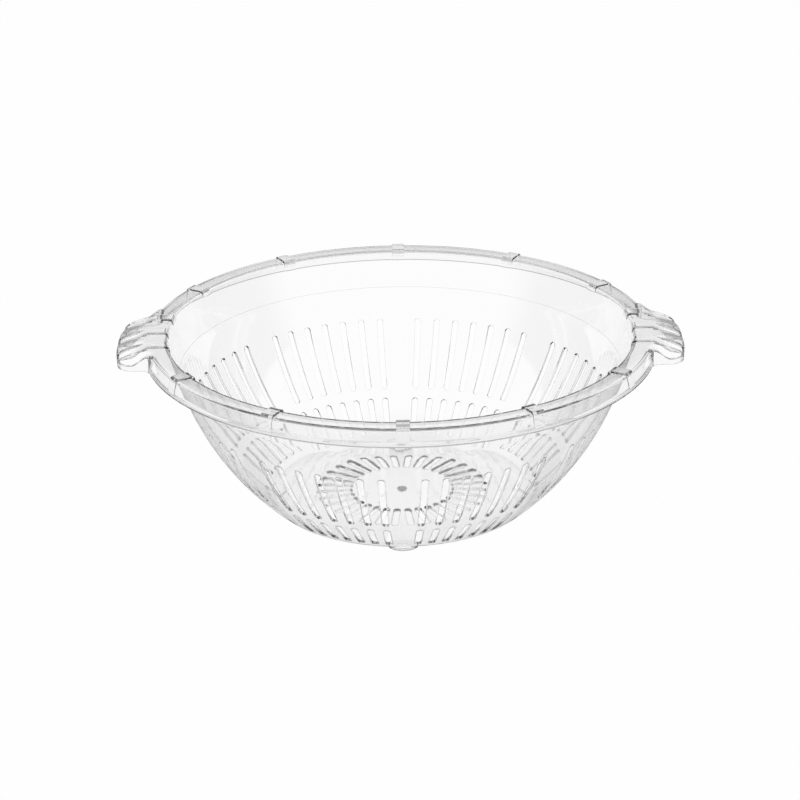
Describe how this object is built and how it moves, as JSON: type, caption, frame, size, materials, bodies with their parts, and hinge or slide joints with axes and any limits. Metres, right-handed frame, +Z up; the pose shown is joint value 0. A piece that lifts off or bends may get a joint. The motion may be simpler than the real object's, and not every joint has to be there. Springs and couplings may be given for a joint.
{
  "type": "kitchen colander",
  "caption": "Clear plastic kitchen colander: a round slotted bowl with a turned-over rim, two ribbed side grips and low feet, for rinsing and draining food.",
  "frame": {"origin": "on the surface it stands on, under the middle of the bowl", "axes": "+Z up along the bowl's axis, X through the two handles, -Y towards the viewer"},
  "size_m": [0.375, 0.339, 0.1214],
  "materials": {
    "clear_plastic": "clear moulded styrene plastic with a gloss surface"
  },
  "bodies": {
    "root": {"bowl_floor": "clear_plastic", "gate_mark": "clear_plastic", "lower_wall": "clear_plastic", "upper_wall": "clear_plastic", "shoulder_band": "clear_plastic", "rim": "clear_plastic", "right_handle": "clear_plastic", "right_handle_rib_1": "clear_plastic", "right_handle_rib_2": "clear_plastic", "right_handle_rib_3": "clear_plastic", "left_handle": "clear_plastic", "left_handle_rib_1": "clear_plastic", "left_handle_rib_2": "clear_plastic", "left_handle_rib_3": "clear_plastic", "rim_knuckle_01": "clear_plastic", "rim_knuckle_02": "clear_plastic", "rim_knuckle_03": "clear_plastic", "rim_knuckle_04": "clear_plastic", "rim_knuckle_05": "clear_plastic", "rim_knuckle_06": "clear_plastic", "rim_knuckle_07": "clear_plastic", "rim_knuckle_08": "clear_plastic", "rim_knuckle_09": "clear_plastic", "rim_knuckle_10": "clear_plastic", "foot_1": "clear_plastic", "foot_2": "clear_plastic", "foot_3": "clear_plastic", "foot_4": "clear_plastic"}
  },
  "joints": []
}
